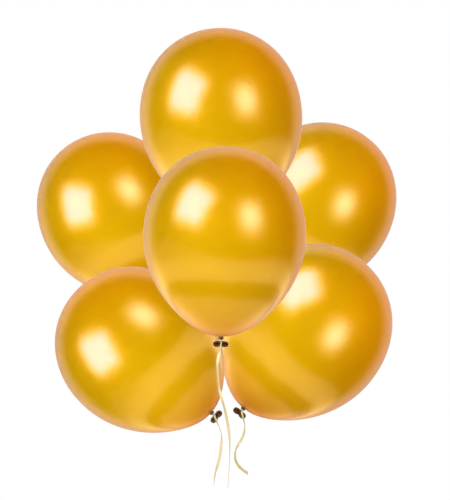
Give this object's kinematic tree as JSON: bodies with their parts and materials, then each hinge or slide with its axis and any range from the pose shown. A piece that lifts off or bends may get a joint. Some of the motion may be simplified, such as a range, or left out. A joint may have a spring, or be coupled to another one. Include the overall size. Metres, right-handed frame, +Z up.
{
  "type": "latex balloon bunch",
  "caption": "Bunch of round pearl-gold latex balloons, each knotted at the neck and tied with curling ribbon to a hidden gather knot; ribbon tails hang below.",
  "frame": {"origin": "centre of the gather knot in the core of the bunch, where the six tethers meet", "axes": "+X to the bunch's right as seen from the front, +Y to its back, +Z up"},
  "size_m": [0.6931, 0.7322, 0.8219],
  "materials": {
    "latex_gold": "pearl satin",
    "latex_dark": "satin",
    "ribbon": "satin"
  },
  "bodies": {
    "core": {"gather_knot": "ribbon", "front_tether": "ribbon", "top_tether": "ribbon", "left_tether": "ribbon", "right_tether": "ribbon", "lower_left_tether": "ribbon", "lower_right_tether": "ribbon"},
    "front_tie": {"front_tie": "ribbon"},
    "front_balloon": {"front_skin": "latex_gold", "front_knot": "latex_dark", "front_lip": "latex_dark"},
    "top_tie": {"top_tie": "ribbon"},
    "top_balloon": {"top_skin": "latex_gold", "top_knot": "latex_dark", "top_lip": "latex_dark"},
    "left_tie": {"left_tie": "ribbon"},
    "left_balloon": {"left_skin": "latex_gold", "left_knot": "latex_dark", "left_lip": "latex_dark"},
    "right_tie": {"right_tie": "ribbon"},
    "right_balloon": {"right_skin": "latex_gold", "right_knot": "latex_dark", "right_lip": "latex_dark"},
    "lower_left_tie": {"lower_left_tie": "ribbon"},
    "lower_left_balloon": {"lower_left_skin": "latex_gold", "lower_left_knot": "latex_dark", "lower_left_lip": "latex_dark"},
    "lower_right_tie": {"lower_right_tie": "ribbon"},
    "lower_right_balloon": {"lower_right_skin": "latex_gold", "lower_right_knot": "latex_dark", "lower_right_lip": "latex_dark"},
    "front_tail": {"front_tail": "ribbon"},
    "lower_left_tail": {"lower_left_tail": "ribbon"},
    "lower_right_tail": {"lower_right_tail": "ribbon"}
  },
  "joints": [
    {"name": "front_sway", "type": "hinge", "parent": "core", "child": "front_tie", "pos_m": [-0.002, -0.164, -0.126], "axis": [1, 0, 0], "range_deg": [0, 15], "stiffness_Nm_per_rad": 0.03, "springref_deg": -20.05},
    {"name": "front_twist", "type": "hinge", "parent": "front_tie", "child": "front_balloon", "pos_m": [-0.002, -0.164, -0.126], "axis": [0.0349, -0.0349, 0.9988], "range_deg": [-30, 30]},
    {"name": "top_sway", "type": "hinge", "parent": "core", "child": "top_tie", "pos_m": [0.011, 0.036, 0.083], "axis": [-1, 0, 0], "range_deg": [0, 8], "stiffness_Nm_per_rad": 0.03, "springref_deg": -20.05},
    {"name": "top_twist", "type": "hinge", "parent": "top_tie", "child": "top_balloon", "pos_m": [0.011, 0.036, 0.083], "axis": [-0.0694, 0.1045, 0.9921], "range_deg": [-30, 30]},
    {"name": "left_sway", "type": "hinge", "parent": "core", "child": "left_tie", "pos_m": [-0.129, 0.142, -0.047], "axis": [-0.7071, -0.7071, 0], "range_deg": [0, 15], "stiffness_Nm_per_rad": 0.03, "springref_deg": -20.05},
    {"name": "left_twist", "type": "hinge", "parent": "left_tie", "child": "left_balloon", "pos_m": [-0.129, 0.142, -0.047], "axis": [-0.4289, 0.4067, 0.8066], "range_deg": [-30, 30]},
    {"name": "right_sway", "type": "hinge", "parent": "core", "child": "right_tie", "pos_m": [0.111, 0.194, -0.036], "axis": [-0.7071, 0.7071, 0], "range_deg": [0, 15], "stiffness_Nm_per_rad": 0.03, "springref_deg": -20.05},
    {"name": "right_twist", "type": "hinge", "parent": "right_tie", "child": "right_balloon", "pos_m": [0.111, 0.194, -0.036], "axis": [0.4005, 0.4067, 0.8211], "range_deg": [-30, 30]},
    {"name": "lower_left_sway", "type": "hinge", "parent": "core", "child": "lower_left_tie", "pos_m": [-0.015, -0.064, -0.262], "axis": [0, -1, 0], "range_deg": [0, 15], "stiffness_Nm_per_rad": 0.03, "springref_deg": -20.05},
    {"name": "lower_left_twist", "type": "hinge", "parent": "lower_left_tie", "child": "lower_left_balloon", "pos_m": [-0.015, -0.064, -0.262], "axis": [-0.7433, 0.2419, 0.6237], "range_deg": [-30, 30]},
    {"name": "lower_right_sway", "type": "hinge", "parent": "core", "child": "lower_right_tie", "pos_m": [0.035, -0.01, -0.259], "axis": [0, 1, 0], "range_deg": [0, 15], "stiffness_Nm_per_rad": 0.03, "springref_deg": -20.05},
    {"name": "lower_right_twist", "type": "hinge", "parent": "lower_right_tie", "child": "lower_right_balloon", "pos_m": [0.035, -0.01, -0.259], "axis": [0.6209, 0.2588, 0.7399], "range_deg": [-30, 30]},
    {"name": "front_tail_swing", "type": "hinge", "parent": "core", "child": "front_tail", "pos_m": [-0.002, -0.164, -0.126], "axis": [0, 1, 0], "range_deg": [-25, 25]},
    {"name": "lower_left_tail_swing", "type": "hinge", "parent": "core", "child": "lower_left_tail", "pos_m": [-0.015, -0.064, -0.262], "axis": [0, 1, 0], "range_deg": [-25, 25]},
    {"name": "lower_right_tail_swing", "type": "hinge", "parent": "core", "child": "lower_right_tail", "pos_m": [0.035, -0.01, -0.259], "axis": [0, 1, 0], "range_deg": [-25, 25]}
  ]
}
